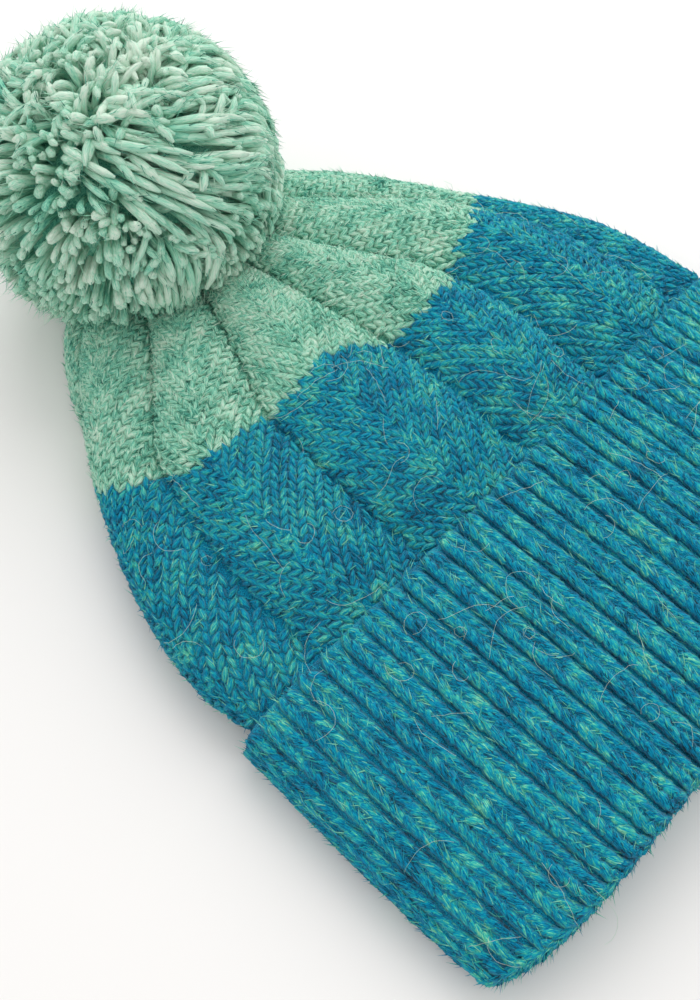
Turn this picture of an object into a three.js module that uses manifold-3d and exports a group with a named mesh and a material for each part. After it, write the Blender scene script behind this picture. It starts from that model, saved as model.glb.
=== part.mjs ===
// A knitted beanie lying flat: a turned-up ribbed cuff, a crown of puffed panels in two colours, gathered
// at its end, and a yarn pompom over the gather. Millimetres, +Z up, +X across, +Y from brim to pompom.
import * as THREE from "three";
import { mergeVertices } from "three/addons/utils/BufferGeometryUtils.js";
import Module from "manifold-3d";

const wasm = await Module();
wasm.setup();

// Cuff: one ribbed strip, folded at the brim into an outer and an inner layer.
const cuffHeight = 94; // brim fold to turned-up edge, at the sides
const cuffBow = 5; // dip of the turned-up edge towards the brim, in the middle
const cornerRise = 7; // how far the brim fold is rounded back at its two ends
const ribCount = 60; // all the way round
const ribDepth = 2;
const outerLayer = 4.2; // thickness of the turned-up layer
const layerSlit = 0.5; // between the two layers
const innerLayer = 3.6; // thickness of the layer against the head
const innerReach = 86; // brim fold to the end of the inner layer, at the sides
const cuffThickness = outerLayer + layerSlit + innerLayer;

// Crown: panels between grooves, from inside the cuff to the gather.
const seam = 0.6; // gap kept between neighbouring pieces
const crownTip = 249; // brim fold to the end of the crown
const crownWall = 5.7; // thickness of the knitted wall at the middle of a panel
const grooveDepth = 3.2; // dent of the wall between two panels
const colourChange = 143; // brim fold to the colour change, at the middle of the top
const roundsRise = 28; // how much nearer to the tip a knitted round lies at the sides than in the middle
const panelEdges = [0.05, 0.15, 0.235, 0.345, 0.44, 0.54, 0.64, 0.74, 0.84, 0.945]; // shares of the round
const edgesDrift = 0.7; // how far the grooves draw together on top of the crown, at its tip
const driftStart = 0.38; // share of the crown's length where that starts

// Pompom: locks of yarn on a head, over the tip of the crown.
const pompomCentre = new THREE.Vector3(-9.5, 238, 44);
const pompomRadius = 47.5; // to the ends of the longest locks
const headRadius = 37;
const lockCount = 54;
const lockRadius = 10.4; // where it leaves the head
const lockTip = 5.2; // radius of its blunt end
const lockSides = 4;

// Sections across the hat: a dome over a flat underside. y is measured from the brim fold.
const cuffSections = [
  { y: 0, lean: 0, halfWidth: 110, floor: 0, top: 27 },
  { y: 40, lean: 0, halfWidth: 110, floor: 0, top: 30.5 },
  { y: 94, lean: 0, halfWidth: 108, floor: 0, top: 32 },
];
const tuckInset = outerLayer + layerSlit; // the crown starts inside the cuff, in line with its inner layer
const crownSections = [
  { y: 80, lean: 0, halfWidth: 102.8, floor: tuckInset, top: 27 },
  { y: 95, lean: 0, halfWidth: 102.8, floor: tuckInset, top: 27.3 },
  { y: 104, lean: -1, halfWidth: 103.4, floor: 1.6, top: 31 },
  { y: 114, lean: -1.5, halfWidth: 103.5, floor: 0, top: 34 },
  { y: 134, lean: -2, halfWidth: 99.5, floor: 0, top: 36 },
  { y: 154, lean: -3, halfWidth: 91.5, floor: 0, top: 36 },
  { y: 174, lean: -3.5, halfWidth: 81.5, floor: 0, top: 35 },
  { y: 194, lean: -4, halfWidth: 70.5, floor: 0, top: 33 },
  { y: 214, lean: -5, halfWidth: 58, floor: 0, top: 31 },
  { y: 229, lean: -6, halfWidth: 45, floor: 0, top: 28 },
  { y: 240, lean: -7, halfWidth: 29, floor: 0, top: 23 },
  { y: 249, lean: -7, halfWidth: 8, floor: 1, top: 15 },
];
const domePower = 2.3; // superellipse power of the dome
const basePower = 5; // and of the underside
const sideShare = 0.28; // height of the widest line, as a share of the section's height
const flattening = 1.17; // how far the underside is pressed flat
const sideInset = 1.15; // an inset at the sides, for each millimetre on top
const outlineSteps = 240;

const lerp = THREE.MathUtils.lerp;
const clamp = THREE.MathUtils.clamp;

// The section at y, smoothly between the rows of a table.
function sectionAt(sections, y) {
  const last = sections.length - 1;
  let i = sections.findIndex((row) => row.y > y) - 1;
  if (i === -2) i = last - 1;
  i = clamp(i, 0, last - 1);
  const [before, from, to, after] = [i - 1, i, i + 1, i + 2].map((k) => sections[clamp(k, 0, last)]);
  const span = to.y - from.y;
  const t = clamp((y - from.y) / span, 0, 1);
  const blend = (key) => {
    const slopeFrom = ((to[key] - before[key]) / (to.y - before.y)) * span;
    const slopeTo = ((after[key] - from[key]) / (after.y - from.y)) * span;
    const rise = to[key] - from[key];
    const bend = lerp(slopeFrom - rise, rise - slopeTo, t);
    return from[key] + rise * t + t * (1 - t) * bend;
  };
  const floor = Math.max(blend("floor"), 0);
  return { lean: blend("lean"), halfWidth: blend("halfWidth"), floor, top: blend("top") };
}

function inset(section, depth) {
  return {
    lean: section.lean,
    halfWidth: section.halfWidth - depth * sideInset,
    floor: section.floor + depth,
    top: section.top - depth,
  };
}

// A point of a section: its place across, from -1 to 1, its x and its z.
function sectionPoint(section, angle) {
  const up = Math.sin(angle);
  const power = up >= 0 ? domePower : basePower;
  const across = Math.sign(Math.cos(angle)) * Math.abs(Math.cos(angle)) ** (2 / power);
  const reach = Math.abs(up) ** (2 / power);
  const side = lerp(section.floor, section.top, sideShare);
  const z = up >= 0 ? lerp(side, section.top, reach) : side - (side - section.floor) * flattening * reach;
  return { across, x: section.lean + section.halfWidth * across, z: Math.max(z, section.floor) };
}

// The point at a share of the way round a section, from its +X side over the top.
function pointRound(section, share) {
  const points = [];
  const lengths = [0];
  for (let k = 0; k <= outlineSteps; k++) {
    points.push(sectionPoint(section, (k / outlineSteps) * 2 * Math.PI));
    if (k > 0) lengths.push(lengths[k - 1] + Math.hypot(points[k].x - points[k - 1].x, points[k].z - points[k - 1].z));
  }
  const wanted = (share - Math.floor(share)) * lengths[outlineSteps];
  const k = Math.max(1, lengths.findIndex((length) => length >= wanted));
  const t = (wanted - lengths[k - 1]) / (lengths[k] - lengths[k - 1]);
  const mix = (key) => lerp(points[k - 1][key], points[k][key], t);
  return { across: mix("across"), x: mix("x"), z: mix("z") };
}

// A closed surface over rings of points: the last ring joins the first, or two poles close its ends.
function skin(rings, poles) {
  const columns = rings[0].length;
  const points = rings.flat();
  const faces = [];
  const joints = poles ? rings.length - 1 : rings.length;
  for (let r = 0; r < joints; r++) {
    const next = (r + 1) % rings.length;
    for (let c = 0; c < columns; c++) {
      const d = (c + 1) % columns;
      const corners = [r * columns + c, r * columns + d, next * columns + d, next * columns + c];
      faces.push(corners[0], corners[1], corners[2], corners[0], corners[2], corners[3]);
    }
  }
  if (poles) {
    const first = points.push(poles[0]) - 1;
    const last = points.push(poles[1]) - 1;
    const end = (rings.length - 1) * columns;
    for (let c = 0; c < columns; c++) {
      const d = (c + 1) % columns;
      faces.push(first, d, c, last, end + c, end + d);
    }
  }
  const geometry = new THREE.BufferGeometry().setFromPoints(points);
  geometry.setIndex(faces);
  return geometry;
}

// Cuff

const ribColumns = [0, 0, 1]; // crest, crest, valley: the columns of one rib

function cuffRing({ y, depth, ribs }) {
  const columns = ribCount * ribColumns.length;
  return Array.from({ length: columns }, (_, k) => {
    const valley = ribColumns[k % ribColumns.length] * ribDepth * ribs;
    const { across, x, z } = pointRound(inset(sectionAt(cuffSections, y), depth + valley), k / columns);
    const up = y / cuffHeight;
    const shift = (1 - up) * cornerRise * across ** 8 - up * cuffBow * (1 - across ** 2);
    return new THREE.Vector3(x, y + shift, z);
  });
}

function makeCuff() {
  const foldRound = 1.2; // rounding of the fold and of the free edge
  const slitEnd = 5; // brim fold to the bottom of the slit
  const layerBack = outerLayer + layerSlit;
  const profile = [
    { y: cuffHeight - foldRound, depth: 0, ribs: 1 },
    { y: cuffHeight / 2, depth: 0, ribs: 1 },
    { y: slitEnd, depth: 0, ribs: 1 },
    { y: foldRound, depth: foldRound, ribs: 1 },
    { y: 0, depth: cuffThickness / 2, ribs: 0.5 },
    { y: foldRound, depth: cuffThickness - foldRound, ribs: -0.5 },
    { y: slitEnd, depth: cuffThickness, ribs: -0.7 },
    { y: cuffHeight / 2, depth: cuffThickness, ribs: -0.7 },
    { y: innerReach, depth: cuffThickness, ribs: -0.7 },
    { y: innerReach, depth: layerBack, ribs: 0 },
    { y: slitEnd, depth: layerBack, ribs: 0 },
    { y: slitEnd, depth: outerLayer, ribs: 0 },
    { y: cuffHeight - foldRound, depth: outerLayer, ribs: 0 },
    { y: cuffHeight, depth: outerLayer - foldRound, ribs: 0 },
    { y: cuffHeight, depth: foldRound, ribs: 0.6 },
  ];
  return skin(profile.map(cuffRing));
}

// Crown

// Rows are counted from the brim fold, in the middle of the top.
const crownStart = innerReach - cuffBow * (innerReach / cuffHeight) + seam;
const crownLeavesCuff = cuffHeight - cuffBow + seam;
const panelColumns = [
  { share: 0, groove: 1 },
  { share: 0.1, groove: 0.45 },
  { share: 0.27, groove: 0 },
  { share: 0.5, groove: 0 },
  { share: 0.73, groove: 0 },
  { share: 0.9, groove: 0.45 },
];

function crownColumns() {
  return panelEdges.flatMap((edge, k) => {
    const next = k + 1 < panelEdges.length ? panelEdges[k + 1] : panelEdges[0] + 1;
    return panelColumns.map(({ share, groove }) => ({ round: lerp(edge, next, share), groove }));
  });
}

// A knitted round of the crown, at the given row.
function crownRing({ row, depth, grooves }) {
  const along = clamp((row - crownLeavesCuff) / (crownTip - crownLeavesCuff), 0, 1);
  const rise = lerp(cuffBow, 0, along) + roundsRise * Math.sin(Math.PI * along);
  const drift = clamp(1.5 * (along - driftStart), 0, edgesDrift) / (2 * Math.PI);
  return crownColumns().map(({ round, groove }) => {
    const share = round - drift * Math.sin(2 * Math.PI * (round - 0.25));
    const { across } = pointRound(sectionAt(crownSections, row), share);
    const y = row + rise * across ** 2;
    const section = inset(sectionAt(crownSections, y), depth + groove * grooveDepth * grooves);
    const { x, z } = pointRound(section, share);
    return new THREE.Vector3(x, y, z);
  });
}

function poleOf(ring, depth) {
  const centre = ring.reduce((sum, point) => sum.add(point), new THREE.Vector3()).divideScalar(ring.length);
  centre.y += depth;
  return centre;
}

const evenly = (from, to, count) => Array.from({ length: count }, (_, k) => lerp(from, to, k / (count - 1)));

function makeCrownLower() {
  const tucked = 0.2; // the grooves are shallow inside the cuff
  const end = colourChange - seam / 2;
  const outside = [
    { row: crownStart, depth: 0, grooves: tucked },
    { row: crownLeavesCuff, depth: 0, grooves: tucked },
    { row: 94, depth: 0, grooves: 0.7 },
    { row: 100, depth: 0, grooves: 1 },
    { row: 108, depth: 0, grooves: 1 },
    { row: 119, depth: 0, grooves: 1 },
    { row: 131, depth: 0, grooves: 1 },
    { row: end, depth: 0, grooves: 1 },
  ];
  const inside = [end, 118, 100, crownStart].map((row) => ({
    row,
    depth: row === crownStart ? innerLayer : crownWall,
    grooves: 0,
  }));
  return skin([...outside, ...inside].map(crownRing).reverse());
}

const gatherRow = 243; // the last whole round before the gather closes
const hollowEnd = 226; // the last round of the hollow
const tipRound = 2; // how far the closed gather bulges past its last round

function makeCrownUpper() {
  const start = colourChange + seam / 2;
  const outside = [gatherRow, 233, 222, 210, 198, 186, 174, 162, 152, start].map((row) =>
    crownRing({ row, depth: 0, grooves: 1 }),
  );
  const inside = evenly(start, hollowEnd, 6).map((row) => crownRing({ row, depth: crownWall, grooves: 0 }));
  return skin([...outside, ...inside], [poleOf(outside[0], tipRound), poleOf(inside[5], 1)]);
}

// Pompom

function solidOf(geometry) {
  const bare = new THREE.BufferGeometry().setAttribute("position", geometry.getAttribute("position"));
  bare.setIndex(geometry.getIndex());
  const merged = mergeVertices(bare, 1e-4);
  const triVerts = new Uint32Array(merged.index.array);
  const vertProperties = new Float32Array(merged.attributes.position.array);
  return new wasm.Manifold(new wasm.Mesh({ numProp: 3, vertProperties, triVerts }));
}

function geometryOf(solid) {
  const { vertProperties, triVerts } = solid.getMesh();
  const geometry = new THREE.BufferGeometry();
  geometry.setAttribute("position", new THREE.BufferAttribute(vertProperties, 3));
  geometry.setIndex(new THREE.BufferAttribute(triVerts, 1));
  return geometry;
}

// One blunt lock of yarn, from inside the head outwards along a direction.
function makeLock(k) {
  const goldenAngle = Math.PI * (3 - Math.sqrt(5));
  const height = 1 - (2 * k + 1) / lockCount;
  const ring = Math.sqrt(1 - height * height);
  const turn = k * goldenAngle;
  const outwards = new THREE.Vector3(ring * Math.cos(turn), ring * Math.sin(turn), height);
  const root = headRadius * 0.6;
  const reach = pompomRadius - 1.5 * (1 + Math.sin(5 * k)); // locks differ a little in length
  const profile = [
    new THREE.Vector2(0, root),
    new THREE.Vector2(lockRadius, headRadius * 0.97),
    new THREE.Vector2(lockTip, reach - 1),
    new THREE.Vector2(0, reach),
  ];
  const lock = new THREE.LatheGeometry(profile, lockSides);
  lock.rotateY(k);
  lock.applyQuaternion(new THREE.Quaternion().setFromUnitVectors(new THREE.Vector3(0, 1, 0), outwards));
  return lock;
}

// The crown's outside without its grooves, a little fuller all round, as one solid.
function crownEnvelope() {
  const rings = [gatherRow, 233, 222, 210, 198, 186, 174].map((row) =>
    crownRing({ row, depth: -seam, grooves: 0 }),
  );
  return solidOf(skin(rings, [poleOf(rings[0], tipRound + 3 * seam), poleOf(rings[6], -1)]));
}

function makePompom() {
  let pompom = solidOf(new THREE.IcosahedronGeometry(headRadius, 2));
  for (let k = 0; k < lockCount; k++) pompom = pompom.add(solidOf(makeLock(k)));
  const table = new THREE.BoxGeometry(300, 300, 100);
  pompom = pompom.translate(pompomCentre.toArray());
  pompom = pompom.subtract(solidOf(table).translate([pompomCentre.x, pompomCentre.y, -50]));
  return geometryOf(pompom.subtract(crownEnvelope()));
}

// The beanie

const blueWool = new THREE.MeshStandardMaterial({ color: 0x1f7196, roughness: 0.95, metalness: 0 });
const greenWool = new THREE.MeshStandardMaterial({ color: 0x7db9a0, roughness: 0.95, metalness: 0 });
const pieces = [
  { name: "cuff", geometry: makeCuff(), material: blueWool },
  { name: "crown_lower", geometry: makeCrownLower(), material: blueWool },
  { name: "crown_upper", geometry: makeCrownUpper(), material: greenWool },
  { name: "pompom", geometry: makePompom(), material: greenWool },
];
const beanie = new THREE.Group();
for (const { name, geometry, material } of pieces) {
  const mesh = new THREE.Mesh(geometry, material);
  mesh.name = name;
  beanie.add(mesh);
}

// The origin is under the middle of the whole beanie, on the table.
const bounds = new THREE.Box3().setFromObject(beanie);
const middle = bounds.getCenter(new THREE.Vector3());
beanie.position.set(-middle.x, -middle.y, -bounds.min.z);

export default beanie;
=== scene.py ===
import math

import bpy
import numpy as np
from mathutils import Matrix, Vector


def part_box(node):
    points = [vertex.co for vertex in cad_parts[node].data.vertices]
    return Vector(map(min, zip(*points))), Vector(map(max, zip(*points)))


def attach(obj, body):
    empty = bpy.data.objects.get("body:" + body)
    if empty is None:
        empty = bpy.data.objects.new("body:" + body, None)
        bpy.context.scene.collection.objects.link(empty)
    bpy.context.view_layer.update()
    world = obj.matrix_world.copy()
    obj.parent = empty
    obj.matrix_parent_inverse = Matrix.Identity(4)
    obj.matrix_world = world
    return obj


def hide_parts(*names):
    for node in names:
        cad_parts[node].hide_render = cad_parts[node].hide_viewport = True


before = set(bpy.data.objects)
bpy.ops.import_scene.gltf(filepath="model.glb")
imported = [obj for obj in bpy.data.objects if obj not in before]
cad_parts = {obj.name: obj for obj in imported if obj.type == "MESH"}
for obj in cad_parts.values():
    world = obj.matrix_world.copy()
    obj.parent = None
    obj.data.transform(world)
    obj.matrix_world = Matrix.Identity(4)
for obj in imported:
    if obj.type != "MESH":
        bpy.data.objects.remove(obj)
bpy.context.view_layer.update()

mm = 0.001
rng = np.random.default_rng(14)
cuffLow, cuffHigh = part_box("cuff")
hatOrigin = np.array([(cuffLow.x + cuffHigh.x) / 2, cuffLow.y, 0.0])  # middle of the brim fold


# the hat's form, in millimetres from the brim fold: rows of y, lean, half width, floor, top

cuffRows = [(0, 0, 110, 0, 27), (40, 0, 110, 0, 30.5), (94, 0, 108, 0, 32)]
crownRows = [
    (80, 0, 102.8, 4.7, 27),
    (95, 0, 102.8, 4.7, 27.3),
    (104, -1, 103.4, 1.6, 31),
    (114, -1.5, 103.5, 0, 34),
    (134, -2, 99.5, 0, 36),
    (154, -3, 91.5, 0, 36),
    (174, -3.5, 81.5, 0, 35),
    (194, -4, 70.5, 0, 33),
    (214, -5, 58, 0, 31),
    (229, -6, 45, 0, 28),
    (240, -7, 29, 0, 23),
    (249, -7, 8, 1, 15),
]
dome = {"power": 2.3, "basePower": 5.0, "sideShare": 0.28, "flattening": 1.17, "sideInset": 1.15}
shareSteps = 240


def sectionPoint(lean, half, floor, top, angle):
    up = np.sin(angle)
    power = np.where(up >= 0, dome["power"], dome["basePower"])
    across = np.sign(np.cos(angle)) * np.abs(np.cos(angle)) ** (2 / power)
    reach = np.abs(up) ** (2 / power)
    side = floor + (top - floor) * dome["sideShare"]
    above = side + (top - side) * reach
    below = side - (side - floor) * dome["flattening"] * reach
    z = np.where(up >= 0, above, below)
    return lean + half * across, np.maximum(z, floor), across


def makeForm(rows):
    rows = np.array(rows, float)
    ys = np.arange(rows[0, 0], rows[-1, 0] + 0.01, 1.0)
    i = np.clip(np.searchsorted(rows[:, 0], ys, side="right") - 1, 0, len(rows) - 2)
    before = rows[np.clip(i - 1, 0, None)]
    start = rows[i]
    end = rows[i + 1]
    after = rows[np.clip(i + 2, None, len(rows) - 1)]
    span = end[:, :1] - start[:, :1]
    t = (ys[:, None] - start[:, :1]) / span
    rise = end - start
    slopeIn = (end - before) / (end[:, :1] - before[:, :1]) * span
    slopeOut = (after - start) / (after[:, :1] - start[:, :1]) * span
    bend = (slopeIn - rise) * (1 - t) + (rise - slopeOut) * t
    table = start + rise * t + t * (1 - t) * bend
    table[:, 3] = np.maximum(table[:, 3], 0)
    flat = np.linspace(-1, 1, 201)  # closer angles where the underside is pressed flat
    flat = 2 * math.pi - np.arccos(np.sign(flat) * np.abs(flat) ** (dome["basePower"] / 2))
    angles = np.unique(np.concatenate([np.linspace(0, 2 * math.pi, 721), flat]))
    x, z, across = sectionPoint(*[table[:, k:k + 1] for k in (1, 2, 3, 4)], angles[None])
    steps = np.hypot(np.diff(x), np.diff(z))
    lengths = np.concatenate([np.zeros((len(ys), 1)), np.cumsum(steps, 1)], 1)
    shares = np.linspace(0, 1, shareSteps + 1)
    angleAt = np.array([np.interp(shares, row / row[-1], angles) for row in lengths])
    return {"ys": ys, "table": table, "angleAt": angleAt, "girth": lengths[:, -1]}


def angleOf(form, y, share):
    fy = np.clip(y - form["ys"][0], 0, len(form["ys"]) - 1.001)
    fs = (share % 1.0) * shareSteps
    i = fy.astype(int)
    j = np.minimum(fs.astype(int), shareSteps - 1)
    a = fy - i
    b = fs - j
    grid = form["angleAt"]
    low = grid[i, j] * (1 - b) + grid[i, j + 1] * b
    high = grid[i + 1, j] * (1 - b) + grid[i + 1, j + 1] * b
    return low * (1 - a) + high * a


def formPoint(form, y, share, depth):
    lean, half, floor, top = [np.interp(y, form["ys"], form["table"][:, k]) for k in (1, 2, 3, 4)]
    angle = angleOf(form, y, share)
    half = half - depth * dome["sideInset"]
    x, z, across = sectionPoint(lean, half, floor + depth, top - depth, angle)
    return np.stack([x, y, z], -1), across


cuffForm = makeForm(cuffRows)
crownForm = makeForm(crownRows)


# cuff: ribs round a strip that is folded at the brim

cuff = {
    "height": 94,
    "bow": 5,
    "cornerRise": 7,
    "ribs": 60,
    "ribDepth": 2.0,
    "foldRadius": 4.15,
    "stitchRow": 2.65,
    "legSlant": 21,
    "leg": (1.15, 1.72, 2.75),  # half the thickness, breadth and length of a stitch leg
    "innerStitches": 26,  # how far they go on inside the brim
    "fibres": 390000,  # on a square metre of stitches
}


def ribRelief(turn):
    p = (turn * cuff["ribs"]) % 1.0 - 0.5
    return cuff["ribDepth"] * (1 - np.sqrt(np.maximum(1 - (2 * p) ** 2, 0)))


def cuffPoint(y, turn, depth):
    point, across = formPoint(cuffForm, y, turn, depth)
    up = y / cuff["height"]
    point[..., 1] += (1 - up) * cuff["cornerRise"] * np.abs(across) ** 8
    point[..., 1] -= up * cuff["bow"] * (1 - across ** 2)
    return point


def cuffWrap(way, turn, sink):
    # way runs along the strip: below nought inside the hat, then round the fold, then up the outside
    bend = np.clip(way / cuff["foldRadius"], -math.pi / 2, math.pi / 2)
    past = np.maximum(np.abs(way) - cuff["foldRadius"] * math.pi / 2, 0)
    inwards = (sink + ribRelief(turn)) * np.where(way < 0, 0.6, 1)
    y = cuff["foldRadius"] * (1 - np.cos(bend)) + past + inwards * np.cos(bend)
    depth = cuff["foldRadius"] * (1 - np.sin(bend)) + inwards * np.sin(bend)
    return cuffPoint(y, turn, depth)


# crown: puffed panels between grooves that draw together near the tip

crown = {
    "leaves": 89.6,
    "tip": 249,
    "wall": 5.7,
    "bow": 5,
    "roundsRise": 28,
    "edges": [0.05, 0.15, 0.235, 0.345, 0.44, 0.54, 0.64, 0.74, 0.84, 0.945],
    "drift": 0.7,
    "driftStart": 0.38,
    "grooveDepth": 6.5,
    "wale": 4.2,
    "stitchRow": 2.6,
    "waleSlant": 38,
    "legSlant": 27,
    "leg": (1.05, 1.12, 2.35),
    "stitches": (90, 245),  # first and last row
    "shell": (84, 247),  # first and last row outside
    "insideEnd": 226,
    "puffStart": 86,  # the grooves deepen from here
    "puffLength": 14,
    "fibres": 262000,
}
changeTurns = [0, 0.05, 0.13, 0.17, 0.235, 0.275, 0.335, 0.42, 0.47, 0.51, 0.6, 1.0]
changeRows = [143, 143, 143, 139, 141.5, 151.5, 147, 141.6, 146, 150, 143, 143]


def changeRow(turn):
    return np.interp(turn % 1.0, changeTurns, changeRows)


def grooveAt(turn):
    edges = np.array(crown["edges"] + [crown["edges"][0] + 1])
    turn = (turn - edges[0]) % 1.0 + edges[0]
    i = np.clip(np.searchsorted(edges, turn, side="right") - 1, 0, len(edges) - 2)
    p = (turn - edges[i]) / (edges[i + 1] - edges[i])
    return (1 - np.sin(math.pi * np.clip(p, 0, 1)) ** 0.55)


def crownPoint(row, turn, depth):
    along = np.clip((row - crown["leaves"]) / (crown["tip"] - crown["leaves"]), 0, 1)
    drift = np.clip(1.5 * (along - crown["driftStart"]), 0, crown["drift"]) / (2 * math.pi)
    share = turn - drift * np.sin(2 * math.pi * (turn - 0.25))
    across = formPoint(crownForm, row, share, 0 * row)[1]
    rise = crown["bow"] * (1 - along) + crown["roundsRise"] * np.sin(math.pi * along)
    y = np.minimum(row + rise * across ** 2, crown["tip"])
    fade = np.clip((row - crown["puffStart"]) / crown["puffLength"], 0, 1)
    return formPoint(crownForm, y, share, depth + grooveAt(turn) * crown["grooveDepth"] * fade)[0]


def surfaceFrames(place, row, turn, depth):
    step = 0.4
    point = place(row, turn, depth)
    rowWay = place(row + step, turn, depth) - place(row - step, turn, depth)
    turnWay = place(row, turn + 0.0012, depth) - place(row, turn - 0.0012, depth)
    rowWay /= np.linalg.norm(rowWay, axis=-1, keepdims=True) + 1e-9
    outward = np.cross(rowWay, turnWay)
    outward /= np.linalg.norm(outward, axis=-1, keepdims=True) + 1e-9
    turnWay = np.cross(outward, rowWay)
    return point, rowWay, turnWay, outward


# meshes and node trees

def toScene(points):
    return points * mm + hatOrigin


def newObject(name, verts, faces, edges=()):
    mesh = bpy.data.meshes.new(name)
    mesh.from_pydata(verts.tolist(), edges, faces)
    mesh.update()
    obj = bpy.data.objects.new(name, mesh)
    bpy.context.scene.collection.objects.link(obj)
    return obj


def setFloats(obj, name, values):
    layer = obj.data.attributes.new(name, "FLOAT", "POINT")
    layer.data.foreach_set("value", np.asarray(values, np.float32).ravel())


def setVectors(obj, name, values):
    layer = obj.data.attributes.new(name, "FLOAT_VECTOR", "POINT")
    layer.data.foreach_set("vector", np.asarray(values, np.float32).ravel())


def newTree(name, inputs):
    tree = bpy.data.node_groups.new(name, "GeometryNodeTree")
    tree.interface.new_socket("Geometry", in_out="INPUT", socket_type="NodeSocketGeometry")
    for label, kind in inputs:
        tree.interface.new_socket(label, in_out="INPUT", socket_type="NodeSocket" + kind)
    tree.interface.new_socket("Geometry", in_out="OUTPUT", socket_type="NodeSocketGeometry")
    return tree, tree.nodes.new("NodeGroupInput"), tree.nodes.new("NodeGroupOutput")


def node(tree, kind, **settings):
    made = tree.nodes.new(kind)
    for key, value in settings.items():
        setattr(made, key, value)
    return made


def namedAttribute(tree, name, kind):
    made = node(tree, "GeometryNodeInputNamedAttribute", data_type=kind)
    made.inputs["Name"].default_value = name
    return made.outputs["Attribute"]


def bakeNodes(name, source, tree, values):
    modifier = source.modifiers.new("nodes", "NODES")
    modifier.node_group = tree
    for item in tree.interface.items_tree:
        if item.in_out == "INPUT" and item.name in values:
            modifier[item.identifier] = values[item.name]
    bpy.context.view_layer.update()
    graph = bpy.context.evaluated_depsgraph_get()
    mesh = bpy.data.meshes.new_from_object(source.evaluated_get(graph))
    source.modifiers.remove(modifier)
    places = np.empty(len(mesh.vertices) * 3, np.float32)
    mesh.vertices.foreach_get("co", places)
    places = places.reshape(-1, 3)
    places[:, 2] = np.maximum(places[:, 2], 0.0001)  # nothing goes under the table
    mesh.vertices.foreach_set("co", places.ravel())
    obj = bpy.data.objects.new(name, mesh)
    bpy.context.scene.collection.objects.link(obj)
    mesh.shade_smooth()
    print(name, len(mesh.vertices), "verts", len(mesh.polygons), "faces")
    return obj


def legTree():
    tree, given, out = newTree("knitted legs", [("Sides", "Int"), ("Rings", "Int"), ("Wool", "Material")])
    link = tree.links.new
    ball = node(tree, "GeometryNodeMeshUVSphere")
    ball.inputs["Radius"].default_value = 1
    link(given.outputs["Sides"], ball.inputs["Segments"])
    link(given.outputs["Rings"], ball.inputs["Rings"])
    keep = node(tree, "GeometryNodeStoreNamedAttribute", data_type="FLOAT_VECTOR", domain="POINT")
    keep.inputs["Name"].default_value = "legPlace"
    link(ball.outputs["Mesh"], keep.inputs["Geometry"])
    link(node(tree, "GeometryNodeInputPosition").outputs[0], keep.inputs["Value"])
    lie = node(tree, "FunctionNodeAlignRotationToVector", axis="Z")
    link(namedAttribute(tree, "along", "FLOAT_VECTOR"), lie.inputs["Vector"])
    roll = node(tree, "FunctionNodeAlignRotationToVector", axis="X", pivot_axis="Z")
    link(lie.outputs[0], roll.inputs["Rotation"])
    link(namedAttribute(tree, "outward", "FLOAT_VECTOR"), roll.inputs["Vector"])
    put = node(tree, "GeometryNodeInstanceOnPoints")
    link(given.outputs["Geometry"], put.inputs["Points"])
    link(keep.outputs["Geometry"], put.inputs["Instance"])
    link(roll.outputs[0], put.inputs["Rotation"])
    link(namedAttribute(tree, "size", "FLOAT_VECTOR"), put.inputs["Scale"])
    real = node(tree, "GeometryNodeRealizeInstances")
    link(put.outputs[0], real.inputs[0])
    paint = node(tree, "GeometryNodeSetMaterial")
    link(real.outputs[0], paint.inputs["Geometry"])
    link(given.outputs["Wool"], paint.inputs["Material"])
    link(paint.outputs[0], out.inputs[0])
    return tree


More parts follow.
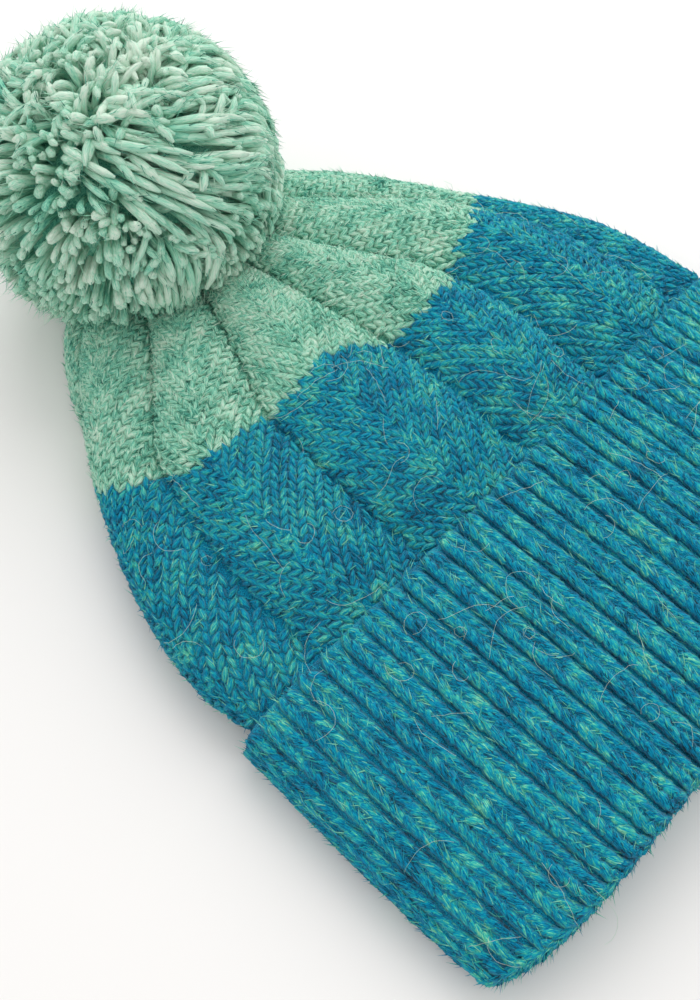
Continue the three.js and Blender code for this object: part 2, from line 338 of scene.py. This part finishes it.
def fuzzTree():
    inputs = [("Density", "Float"), ("Seed", "Int"), ("Lift", "Float"), ("Stray", "Float")]
    inputs += [("Thin", "Float"), ("Shortest", "Float"), ("Longest", "Float"), ("Wool", "Material")]
    tree, given, out = newTree("loose fibres", inputs)
    link = tree.links.new
    much = node(tree, "ShaderNodeMath", operation="MULTIPLY")
    link(given.outputs["Density"], much.inputs[0])
    link(namedAttribute(tree, "hairy", "FLOAT"), much.inputs[1])
    spread = node(tree, "GeometryNodeDistributePointsOnFaces", distribute_method="RANDOM")
    link(given.outputs["Geometry"], spread.inputs["Mesh"])
    link(much.outputs[0], spread.inputs["Density"])
    link(given.outputs["Seed"], spread.inputs["Seed"])
    stand = node(tree, "ShaderNodeVectorMath", operation="SCALE")
    link(spread.outputs["Normal"], stand.inputs[0])
    link(given.outputs["Lift"], stand.inputs["Scale"])
    wander = node(tree, "FunctionNodeRandomValue", data_type="FLOAT_VECTOR")
    wander.inputs[0].default_value = (-1, -1, -1)
    wander.inputs[1].default_value = (1, 1, 1)
    link(given.outputs["Seed"], wander.inputs["Seed"])
    loose = node(tree, "ShaderNodeVectorMath", operation="SCALE")
    link(wander.outputs[0], loose.inputs[0])
    link(given.outputs["Stray"], loose.inputs["Scale"])
    first = node(tree, "ShaderNodeVectorMath", operation="ADD")
    link(stand.outputs[0], first.inputs[0])
    link(loose.outputs[0], first.inputs[1])
    way = node(tree, "ShaderNodeVectorMath", operation="ADD")
    link(first.outputs[0], way.inputs[0])
    link(namedAttribute(tree, "flow", "FLOAT_VECTOR"), way.inputs[1])
    lie = node(tree, "FunctionNodeAlignRotationToVector", axis="Z")
    link(way.outputs[0], lie.inputs["Vector"])
    long = node(tree, "FunctionNodeRandomValue", data_type="FLOAT")
    link(given.outputs["Shortest"], long.inputs[2])
    link(given.outputs["Longest"], long.inputs[3])
    link(given.outputs["Seed"], long.inputs["Seed"])
    size = node(tree, "ShaderNodeCombineXYZ")
    link(given.outputs["Thin"], size.inputs[0])
    link(given.outputs["Thin"], size.inputs[1])
    link(long.outputs[1], size.inputs[2])
    shade = node(tree, "FunctionNodeRandomValue", data_type="FLOAT")
    shade.inputs[2].default_value = 0.12
    shade.inputs[3].default_value = 0.88
    link(given.outputs["Seed"], shade.inputs["Seed"])
    tinted = node(tree, "GeometryNodeStoreNamedAttribute", data_type="FLOAT", domain="POINT")
    tinted.inputs["Name"].default_value = "tint"
    link(spread.outputs["Points"], tinted.inputs["Geometry"])
    link(shade.outputs[1], tinted.inputs["Value"])
    spike = node(tree, "GeometryNodeMeshCone")
    spike.inputs["Vertices"].default_value = 3
    spike.inputs["Radius Top"].default_value = 0
    spike.inputs["Radius Bottom"].default_value = 1
    spike.inputs["Depth"].default_value = 1
    put = node(tree, "GeometryNodeInstanceOnPoints")
    link(tinted.outputs["Geometry"], put.inputs["Points"])
    link(spike.outputs["Mesh"], put.inputs["Instance"])
    link(lie.outputs[0], put.inputs["Rotation"])
    link(size.outputs[0], put.inputs["Scale"])
    real = node(tree, "GeometryNodeRealizeInstances")
    link(put.outputs[0], real.inputs[0])
    paint = node(tree, "GeometryNodeSetMaterial")
    link(real.outputs[0], paint.inputs["Geometry"])
    link(given.outputs["Wool"], paint.inputs["Material"])
    link(paint.outputs[0], out.inputs[0])
    return tree


def strandTree():
    tree, given, out = newTree("yarn strands", [("Sides", "Int"), ("Wool", "Material")])
    link = tree.links.new
    curve = node(tree, "GeometryNodeMeshToCurve")
    link(given.outputs["Geometry"], curve.inputs["Mesh"])
    wide = node(tree, "GeometryNodeSetCurveRadius")
    link(curve.outputs[0], wide.inputs["Curve"])
    link(namedAttribute(tree, "wide", "FLOAT"), wide.inputs["Radius"])
    ring = node(tree, "GeometryNodeCurvePrimitiveCircle", mode="RADIUS")
    ring.inputs["Radius"].default_value = 1
    link(given.outputs["Sides"], ring.inputs["Resolution"])
    keep = node(tree, "GeometryNodeStoreNamedAttribute", data_type="FLOAT_VECTOR", domain="POINT")
    keep.inputs["Name"].default_value = "legPlace"
    link(ring.outputs[0], keep.inputs["Geometry"])
    link(node(tree, "GeometryNodeInputPosition").outputs[0], keep.inputs["Value"])
    tube = node(tree, "GeometryNodeCurveToMesh")
    tube.inputs["Fill Caps"].default_value = True
    link(wide.outputs[0], tube.inputs["Curve"])
    link(keep.outputs["Geometry"], tube.inputs["Profile Curve"])
    if "Scale" in tube.inputs:
        link(namedAttribute(tree, "wide", "FLOAT"), tube.inputs["Scale"])
    real = node(tree, "GeometryNodeRealizeInstances")
    link(tube.outputs[0], real.inputs[0])
    paint = node(tree, "GeometryNodeSetMaterial")
    link(real.outputs[0], paint.inputs["Geometry"])
    link(given.outputs["Wool"], paint.inputs["Material"])
    link(paint.outputs[0], out.inputs[0])
    return tree


# wool: heathered, matt, with a soft edge

def linear(colour):
    return [c / 12.92 if c <= 0.04045 else ((c + 0.055) / 1.055) ** 2.4 for c in colour] + [1.0]


def woolMaterial(name, stops, look):
    material = bpy.data.materials.new(name)
    material.use_nodes = True
    tree = material.node_tree
    link = tree.links.new
    shader = tree.nodes["Principled BSDF"]
    shader.inputs["Roughness"].default_value = look["roughness"]
    shader.inputs["Sheen Weight"].default_value = look["sheen"]
    shader.inputs["Sheen Roughness"].default_value = 0.5
    shader.inputs["Specular IOR Level"].default_value = 0.06
    tint = node(tree, "ShaderNodeAttribute", attribute_name="tint")
    place = node(tree, "ShaderNodeTexCoord")
    patches = node(tree, "ShaderNodeTexNoise")  # broad change of shade in the yarn
    patches.inputs["Scale"].default_value = look["patches"]
    patches.inputs["Detail"].default_value = 2
    link(place.outputs["Object"], patches.inputs["Vector"])
    legPlace = node(tree, "ShaderNodeAttribute", attribute_name="legPlace")
    share = node(tree, "ShaderNodeAttribute", attribute_name="share")
    down = node(tree, "ShaderNodeCombineXYZ")
    link(share.outputs["Fac"], down.inputs["Z"])
    stretch = node(tree, "ShaderNodeVectorMath", operation="MULTIPLY_ADD")
    stretch.inputs[1].default_value = (1.0, 1.0, look["stretch"])
    link(legPlace.outputs["Vector"], stretch.inputs[0])
    link(down.outputs[0], stretch.inputs[2])
    key = node(tree, "ShaderNodeAttribute", attribute_name="key")
    streaks = node(tree, "ShaderNodeTexNoise", noise_dimensions="4D")  # fibres along each leg
    streaks.inputs["Scale"].default_value = look["streaks"]
    streaks.inputs["Detail"].default_value = 4
    streaks.inputs["Roughness"].default_value = 0.65
    link(stretch.outputs[0], streaks.inputs["Vector"])
    link(key.outputs["Fac"], streaks.inputs["W"])
    broad = node(tree, "ShaderNodeMath", operation="MULTIPLY_ADD")
    broad.inputs[1].default_value = look["patchShare"]
    broad.inputs[2].default_value = -0.5 * (look["patchShare"] + look["streakShare"])
    link(patches.outputs["Fac"], broad.inputs[0])
    fine = node(tree, "ShaderNodeMath", operation="MULTIPLY_ADD")
    fine.inputs[1].default_value = look["streakShare"]
    link(streaks.outputs["Fac"], fine.inputs[0])
    link(broad.outputs[0], fine.inputs[2])
    total = node(tree, "ShaderNodeMath", operation="ADD", use_clamp=True)
    link(fine.outputs[0], total.inputs[0])
    link(tint.outputs["Fac"], total.inputs[1])
    bump = node(tree, "ShaderNodeBump")
    bump.inputs["Strength"].default_value = look["bump"]
    bump.inputs["Distance"].default_value = 0.0006
    link(streaks.outputs["Fac"], bump.inputs["Height"])
    link(bump.outputs["Normal"], shader.inputs["Normal"])
    ramp = node(tree, "ShaderNodeValToRGB")
    ramp.color_ramp.elements[0].position = stops[0][0]
    ramp.color_ramp.elements[0].color = linear(stops[0][1])
    ramp.color_ramp.elements[1].position = stops[-1][0]
    ramp.color_ramp.elements[1].color = linear(stops[-1][1])
    for at, colour in stops[1:-1]:
        ramp.color_ramp.elements.new(at).color = linear(colour)
    link(total.outputs[0], ramp.inputs["Fac"])
    link(ramp.outputs["Color"], shader.inputs["Base Color"])
    return material


woolLook = {
    "roughness": 0.95,
    "sheen": 0.12,
    "patches": 130,
    "patchShare": 0.8,
    "streaks": 4.5,
    "stretch": 0.22,
    "streakShare": 2.6,
    "bump": 0.8,
}
blueStops = [
    (0.0, (0.0, 0.24, 0.29)),
    (0.2, (0.0, 0.42, 0.55)),
    (0.42, (0.0, 0.54, 0.71)),
    (0.6, (0.05, 0.65, 0.72)),
    (0.8, (0.26, 0.76, 0.66)),
    (1.0, (0.56, 0.88, 0.74)),
]
greenStops = [
    (0.0, (0.10, 0.36, 0.32)),
    (0.2, (0.24, 0.56, 0.49)),
    (0.42, (0.43, 0.76, 0.66)),
    (0.65, (0.63, 0.87, 0.76)),
    (1.0, (0.86, 0.94, 0.87)),
]
ribWool = woolMaterial("rib wool", blueStops, woolLook)
blueWool = woolMaterial("blue wool", blueStops, woolLook)
greenWool = woolMaterial("green wool", greenStops, woolLook)
pompomLook = dict(woolLook, patches=50, patchShare=0.7, streaks=3.5, streakShare=1.6)
pompomYarn = woolMaterial("pompom yarn", greenStops, pompomLook)
legs = legTree()
fuzz = fuzzTree()
strands = strandTree()


def placeLegs(name, place, row, turn, depth, slant, size, tint, hairy, material):
    point, rowWay, turnWay, outward = surfaceFrames(place, row, turn, depth)
    along = rowWay * np.cos(slant)[:, None] + turnWay * np.sin(slant)[:, None]
    under = ((outward[:, 2] < -0.7) & (point[:, 2] < 4))[:, None]
    point = point - outward * np.where(under, 1.0, 0.0)  # pressed flat underneath
    source = newObject(name + " points", toScene(point), [])
    setVectors(source, "along", along)
    setVectors(source, "outward", outward)
    setVectors(source, "size", size * mm)
    setVectors(source, "flow", along)
    setFloats(source, "hairy", hairy * np.where(outward[:, 2] < -0.5, 0.05, 1.0))
    setFloats(source, "tint", tint)
    setFloats(source, "key", rng.uniform(0, 60, len(row)))
    made = bakeNodes(name, source, legs, {"Sides": 4, "Rings": 4, "Wool": material})
    bpy.data.objects.remove(source)
    return made


def addFuzz(name, shell, density, seed, material, look):
    values = {"Density": density, "Seed": seed, "Wool": material}
    values.update(look)
    return bakeNodes(name, shell, fuzz, values)


def gridFaces(rings, columns, closed):
    r, c = np.meshgrid(np.arange(rings if closed else rings - 1), np.arange(columns), indexing="ij")
    r, c = r.ravel(), c.ravel()
    r2 = (r + 1) % rings
    c2 = (c + 1) % columns
    return np.stack([r * columns + c, r * columns + c2, r2 * columns + c2, r2 * columns + c], 1).tolist()


def addShell(name, points, faces, material):
    shell = newObject(name, toScene(points), faces)
    shell.data.shade_smooth()
    setVectors(shell, "legPlace", points / np.array([1.4, 1.4, 0.5]))
    # the shell's tint is lower than the stitches' (0.34 against about 0.5), so it shows darker: painted
    # shade in the gaps between the stitches
    setFloats(shell, "tint", np.full(len(points), 0.34))
    shell.data.materials.append(material)
    return shell


def addPiece(obj):
    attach(obj, "root")


fibreLook = {"Lift": 0.16, "Stray": 0.5, "Thin": 0.00017, "Shortest": 0.0016, "Longest": 0.0038}


# cuff
cuffProfile = [(92.6, 4.0), (94, 2.6), (93.7, 1.1), (92, 0.2)]
cuffProfile += [(y, 0) for y in range(86, 6, -6)]
cuffProfile += [(4.5, 0.5), (1.6, 1.8), (0.2, 3.4), (0, 4.6), (0.6, 6.2), (2.6, 7.6)]
cuffProfile += [(y, 8.3) for y in range(8, 86, 13)]
cuffProfile += [(86, 8.3), (86, 4.9)]
columns = 360
turns = np.arange(columns) / columns
rings = []
for y, depth in cuffProfile:
    relief = ribRelief(turns) * (1 if depth < 4.7 else -0.6)
    rings.append(cuffPoint(np.full(columns, float(y)), turns, np.full(columns, float(depth)) + relief))
points = np.concatenate(rings)
faces = gridFaces(len(cuffProfile), columns, True)
cuffShell = addShell("cuffShell", points, faces, ribWool)
ways = np.arange(-cuff["innerStitches"], cuff["height"] + 1.5, cuff["stitchRow"])
rib, level, side = np.meshgrid(np.arange(cuff["ribs"]), ways, [-1.0, 1.0], indexing="ij")
rib, level, side = rib.ravel(), level.ravel(), side.ravel()
inside = level < -3
count = len(rib)
turn = (rib + 0.5 + side * 0.23) / cuff["ribs"] + rng.normal(0, 0.0003, count)
level = level + rng.normal(0, 0.25, count)
slant = math.radians(cuff["legSlant"]) * -side + rng.normal(0, 0.07, count)
thick = rng.normal(cuff["leg"][0], 0.08, count)
broad = rng.normal(cuff["leg"][1], 0.12, count)
halfLong = rng.normal(cuff["leg"][2], 0.15, count)
size = np.stack([thick, broad, halfLong], 1)
tint = rng.normal(0.48, 0.07, count)
depth = np.full(count, 0.35)
hairShare = np.where(inside, 0.1, 1)
cuffLegs = placeLegs(
    "cuffStitches", cuffWrap, level, turn, depth, slant, size, tint, hairShare, ribWool
)
cuffFuzz = addFuzz("cuffFibres", cuffLegs, cuff["fibres"], 3, ribWool, fibreLook)
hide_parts("cuff")
for obj in (cuffShell, cuffLegs, cuffFuzz):
    addPiece(obj)
print("cuff done")


# crown shells and stitches

def crownShell(name, start, end, endInside, material):
    columns = 240
    steps = 32
    turns = np.arange(columns) / columns
    rings = []
    for s in np.linspace(0, 1, steps):
        rings.append(crownPoint(start(turns) * (1 - s) + end(turns) * s, turns, 0 * turns + 0.4))
    for s in np.linspace(1, 0, 10):
        row = start(turns) * (1 - s) + endInside(turns) * s
        rings.append(crownPoint(row, turns, 0 * turns + crown["wall"]))
    points = np.concatenate(rings)
    faces = [face[::-1] for face in gridFaces(len(rings), columns, True)]
    return addShell(name, points, faces, material)


def crownLegs():
    slant = math.radians(crown["waleSlant"])
    firstRow, lastRow = crown["stitches"]
    edges = crown["edges"] + [crown["edges"][0] + 1]
    found = []
    for left, right in zip(edges[:-1], edges[1:]):
        spine = (left + right) / 2
        for side in (-1, 1):
            u, v = np.meshgrid(np.arange(-220, 60, crown["wale"]), np.arange(40, 260, crown["stitchRow"]))
            u, v = u.ravel() + crown["wale"] / 2, v.ravel()
            c = u * math.cos(slant) + v * math.sin(slant)
            row = -u * math.sin(slant) + v * math.cos(slant)
            girth = np.interp(row, crownForm["ys"], crownForm["girth"])
            width = girth * (right - left)
            keep = (c > -0.9) & (c < width / 2 - 0.1) & (row > firstRow) & (row < lastRow)
            c, row, girth = c[keep], row[keep], girth[keep]
            for leg in (-1, 1):
                cc = c + leg * crown["wale"] * 0.26 * math.cos(slant)
                rr = row - leg * crown["wale"] * 0.26 * math.sin(slant)
                turn = spine + side * cc / girth
                tilt = side * (slant + leg * math.radians(crown["legSlant"]))
                found.append(np.stack([rr, turn, np.full(len(rr), tilt)], 1))
    return np.concatenate(found)


shellStart, shellEnd = crown["shell"]
lower = crownShell("crownLowerShell", lambda t: shellStart + 0 * t, changeRow, changeRow, blueWool)
upper = crownShell(
    "crownUpperShell", changeRow, lambda t: shellEnd + 0 * t,
    lambda t: crown["insideEnd"] + 0 * t, greenWool,
)
found = crownLegs()
row, turn, slant = found[:, 0], found[:, 1] % 1.0, found[:, 2] + rng.normal(0, 0.08, len(found))
count = len(row)
thick = rng.normal(crown["leg"][0], 0.08, count)
broad = rng.normal(crown["leg"][1], 0.09, count)
halfLong = rng.normal(crown["leg"][2], 0.15, count)
size = np.stack([thick, broad, halfLong], 1)
tint = rng.normal(0.5, 0.07, count)
blue = row < changeRow(turn) + rng.normal(0, 0.6, count)
for name, pick, material, slot, shell, nodeName in (
    ("crownLower", blue, blueWool, "blue_wool", lower, "crown_lower"),
    ("crownUpper", ~blue, greenWool, "green_wool", upper, "crown_upper"),
):
    depth = np.full(pick.sum(), 0.25)
    shade = tint[pick] + (0.09 if nodeName == "crown_upper" else 0)
    made = placeLegs(
        name + "Stitches", crownPoint, row[pick], turn[pick], depth,
        slant[pick], size[pick], shade, 1, material,
    )
    fibres = addFuzz(name + "Fibres", made, crown["fibres"], 5, material, fibreLook)
    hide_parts(nodeName)
    for obj in (shell, made, fibres):
        addPiece(obj)
print("crown done")


# long pale hairs that stand off the knit
hairs = {"count": 260, "steps": 11, "length": 16, "wide": 0.055}


def addHairs():
    n = hairs["count"]
    row = rng.uniform(96, 225, n)
    turn = rng.uniform(0.03, 0.49, n)
    point, rowWay, turnWay, outward = surfaceFrames(crownPoint, row, turn, 0 * row - 0.6)
    onCuff = np.arange(n) < n // 3
    level = rng.uniform(4, 92, n)
    cuffFrames = surfaceFrames(cuffPoint, level, turn, 0 * row - 0.6)
    point, rowWay, turnWay, outward = [
        np.where(onCuff[:, None], a, b) for a, b in zip(cuffFrames, (point, rowWay, turnWay, outward))
    ]
    heading = rng.uniform(0, 2 * math.pi, n)
    curl = rng.normal(0, 3.2, n)
    step = hairs["length"] * rng.uniform(0.5, 1.3, n) / hairs["steps"]
    paths = []
    for s in np.linspace(0, 1, hairs["steps"]):
        lift = rng.uniform(0.8, 1.2) * 1.6 * math.sin(math.pi * s)
        paths.append(point + outward * lift)
        way = rowWay * np.cos(heading)[:, None] + turnWay * np.sin(heading)[:, None]
        point = point + way * step[:, None]
        heading = heading + curl / hairs["steps"] + rng.normal(0, 0.15, n)
    flat = np.stack(paths, 1).reshape(-1, 3)
    steps = hairs["steps"]
    edges = [(i * steps + j, i * steps + j + 1) for i in range(n) for j in range(steps - 1)]
    source = newObject("hair paths", toScene(flat), [], edges)
    setFloats(source, "wide", np.full(len(flat), hairs["wide"] * mm))
    setFloats(source, "tint", np.full(len(flat), 0.95))
    made = bakeNodes("strayHairs", source, strands, {"Sides": 3, "Wool": greenWool})
    bpy.data.objects.remove(source)
    return made


addPiece(addHairs())


# pompom: strands combed over a ball, with shorter ones where they part

pompom = {
    "centre": (-9.5, 238, 44),
    "radius": 49.0,
    "core": 39.0,
    "strands": 1550,
    "fillers": 1100,
    "steps": 7,
    "wide": 1.25,
    "root": 30,  # where the strands start
    "fibres": 110000,
}
camera = {
    "azimuth": -47.55,
    "elevation": 60,
    "distance": 0.3776,
    "target": (-0.0291, -0.0138, 0.0),
    "lens": 45,
}
az = math.radians(camera["azimuth"])
el = math.radians(camera["elevation"])
back = np.array([math.sin(az) * math.cos(el), -math.cos(az) * math.cos(el), math.sin(el)])
right = np.array([math.cos(az), math.sin(az), 0])
upward = np.cross(back, right)
# how the yarn is combed, as the camera sees it: place right, up and near, way right and up, reach
combs = [
    (0.55, 0.15, 0.80, 1.0, 0.15, 0.42),
    (0.45, 0.55, 0.70, 0.8, 0.6, 0.40),
    (-0.05, 0.75, 0.65, -0.1, 1.0, 0.40),
    (-0.60, 0.55, 0.58, -0.6, 0.8, 0.42),
    (0.02, 0.25, 0.95, 0.65, -0.75, 0.26),
    (-0.30, 0.30, 0.90, -0.6, -0.5, 0.20),
    (-0.75, 0.05, 0.65, -1.0, -0.1, 0.42),
    (-0.15, -0.15, 0.97, 0.9, -0.3, 0.26),
    (0.35, -0.30, 0.88, 0.9, -0.35, 0.30),
    (0.20, -0.75, 0.62, 0.3, -0.9, 0.40),
    (-0.50, -0.60, 0.62, -0.5, -0.8, 0.40),
    (0.70, 0.20, -0.68, 0.4, -0.9, 0.70),
    (-0.50, 0.60, -0.62, 0.7, 0.5, 0.70),
    (-0.20, -0.60, -0.77, -0.9, 0.2, 0.70),
]


def unit(v):
    return v / (np.linalg.norm(v, axis=-1, keepdims=True) + 1e-9)


def crownTop(x, y):
    lean, half, floor, top = [np.interp(y, crownForm["ys"], crownForm["table"][:, k]) for k in (1, 2, 3, 4)]
    across = np.clip(np.abs((x - lean) / half), 0, 1)
    side = floor + (top - floor) * dome["sideShare"]
    over = side + (top - side) * (1 - across ** dome["power"]) ** (1 / dome["power"])
    return np.where((across < 1) & (y < crown["tip"]), over, 0)


def combWay(place):
    way = 0 * place
    for across, up, near, goRight, goUp, reach in combs:
        centre = unit(right * across + upward * up + back * near)
        off = np.arccos(np.clip(place @ centre, -1, 1))
        push = right * goRight + upward * goUp
        push = push - place * (place @ push)[:, None]  # along the ball
        way += push * np.exp(-(off / reach) ** 2)[:, None]
    return way


def evenPlaces(n):
    share = (np.arange(n) * 0.61803398875) % 1.0
    polar = np.arccos(1 - 2 * share)
    turn = 2 * math.pi * rng.uniform(0, 1, n)
    return np.stack([np.cos(turn) * np.sin(polar), np.sin(turn) * np.sin(polar), np.cos(polar)], 1)


def strandPaths(place, combing, loose, short):
    n = len(place)
    bluntWay = unit(right * -0.45 + upward * -0.62 + back * 0.45)  # cut ends face the camera round here
    blunt = np.clip((place @ bluntWay - 0.55) * 4, 0, 1)
    comb = np.clip(np.linalg.norm(combWay(place), axis=1) * 1.5, 0.08, 1) * (1 - 0.8 * blunt)
    reach = rng.uniform(0.5, 0.8, n) * np.maximum(comb, loose)
    lean = np.cross(place, unit(rng.normal(0, 1, (n, 3)))) * (0.18 + loose)
    top = pompom["radius"] - 1.4 - np.abs(rng.normal(0, 2.2, n)) * short + 1.2 * blunt
    paths = []
    for s in np.linspace(0, 1, pompom["steps"]):
        out = pompom["root"] + (top - pompom["root"]) * (1 - (1 - s) ** 2.6)
        paths.append(place * out[:, None])
        way = unit(combWay(place)) * combing + lean
        place = unit(place + way * (reach / (pompom["steps"] - 1))[:, None])
    return np.stack(paths, 1)


def addPompom():
    steps = pompom["steps"]
    combed = strandPaths(evenPlaces(pompom["strands"]), 1, 0, 1)
    spots = evenPlaces(4 * pompom["fillers"])
    seen = unit(combed[:, 2:].reshape(-1, 3))
    cover = (spots @ seen.T > math.cos(0.075)).sum(1)
    bare = spots[np.argsort(cover)[:pompom["fillers"]]]  # short strands where the combed ones part
    paths = np.concatenate([combed, strandPaths(bare, 0.15, 0.3, 1.2)])
    n = len(paths)
    paths = paths + np.array(pompom["centre"])
    flat = paths.reshape(-1, 3)
    flat[:, 2] = np.maximum(flat[:, 2], crownTop(flat[:, 0], flat[:, 1]) + 1.6)
    edges = [(i * steps + j, i * steps + j + 1) for i in range(n) for j in range(steps - 1)]
    source = newObject("strand paths", toScene(flat), [], edges)
    flow = np.gradient(paths, axis=1).reshape(-1, 3)
    share = np.tile(np.linspace(0, 1, steps), n)
    # each strand is darker at the root and paler at the tip: painted shade deep among the strands and
    # painted light on the outside
    tint = np.repeat(rng.normal(0.74, 0.08, n), steps) + 0.22 * share - 0.1
    taper = np.interp(share, [0, 0.5, 0.85, 1], [0.7, 1, 1, 0.45])
    wide = pompom["wide"] * np.repeat(rng.normal(1, 0.13, n), steps) * taper
    setFloats(source, "tint", tint)
    setFloats(source, "key", np.repeat(rng.uniform(0, 60, n), steps))
    setFloats(source, "share", share * 2.5)
    setFloats(source, "wide", wide * mm)
    setFloats(source, "hairy", np.clip((share - 0.3) * 2, 0, 1))
    setVectors(source, "flow", unit(flow))
    made = bakeNodes("pompomStrands", source, strands, {"Sides": 5, "Wool": pompomYarn})
    bpy.data.objects.remove(source)
    return made


strandPiece = addPompom()
pompomFibreLook = {"Lift": 0.3, "Stray": 0.45, "Thin": 0.00015, "Shortest": 0.003, "Longest": 0.0062}
pompomFuzz = addFuzz("pompomFibres", strandPiece, pompom["fibres"], 9, pompomYarn, pompomFibreLook)
bpy.ops.mesh.primitive_ico_sphere_add(subdivisions=4, radius=1)
core = bpy.context.object
core.name = "pompomCore"
corePoints = np.array([v.co for v in core.data.vertices]) * pompom["core"] + np.array(pompom["centre"])
corePoints[:, 2] = np.maximum(corePoints[:, 2], crownTop(corePoints[:, 0], corePoints[:, 1]) + 0.5)
core.data.vertices.foreach_set("co", toScene(corePoints).astype(np.float32).ravel())
core.data.shade_smooth()
setVectors(core, "legPlace", corePoints / 1.2)
# the core is tinted darker than the strands (0.42): painted shade inside the pompom
setFloats(core, "tint", np.full(len(corePoints), 0.42))
core.data.materials.append(pompomYarn)
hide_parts("pompom")
for obj in (strandPiece, pompomFuzz, core):
    addPiece(obj)
print("pompom done")


# floor, light and camera
studio = {"world": 0.88, "lampPlace": (0.75, 0.45, 0.95), "lampSize": 1.3, "lampPower": 10.5}
bpy.ops.mesh.primitive_plane_add(size=6, location=(0, 0, 0))
floor = bpy.context.object
floor.name = "floor"
paper = bpy.data.materials.new("paper")
paper.use_nodes = True
paperShader = paper.node_tree.nodes["Principled BSDF"]
paperShader.inputs["Base Color"].default_value = (0.86, 0.85, 0.84, 1)
paperShader.inputs["Roughness"].default_value = 0.9
floor.data.materials.append(paper)

world = bpy.data.worlds.new("studio")
world.use_nodes = True
world.node_tree.nodes["Background"].inputs["Color"].default_value = (1, 0.99, 0.98, 1)
world.node_tree.nodes["Background"].inputs["Strength"].default_value = studio["world"]
bpy.context.scene.world = world


def addLamp(name, place, aim, size, power):
    data = bpy.data.lights.new(name, "AREA")
    data.size = size
    data.energy = power
    lamp = bpy.data.objects.new(name, data)
    lamp.location = place
    lamp.rotation_euler = (Vector(aim) - Vector(place)).to_track_quat("-Z", "Y").to_euler()
    bpy.context.scene.collection.objects.link(lamp)


addLamp("key", studio["lampPlace"], (0, 0, 0), studio["lampSize"], studio["lampPower"])

cameraData = bpy.data.cameras.new("camera")
cameraData.sensor_fit = "VERTICAL"
cameraData.sensor_height = 36
cameraData.lens = camera["lens"]
view = bpy.data.objects.new("camera", cameraData)
view.location = Vector(camera["target"]) + Vector(back) * camera["distance"]
view.rotation_euler = (-Vector(back)).to_track_quat("-Z", "Y").to_euler()
cameraData.clip_start = 0.01
bpy.context.scene.collection.objects.link(view)
bpy.context.scene.camera = view
bpy.context.scene.view_settings.view_transform = "Standard"
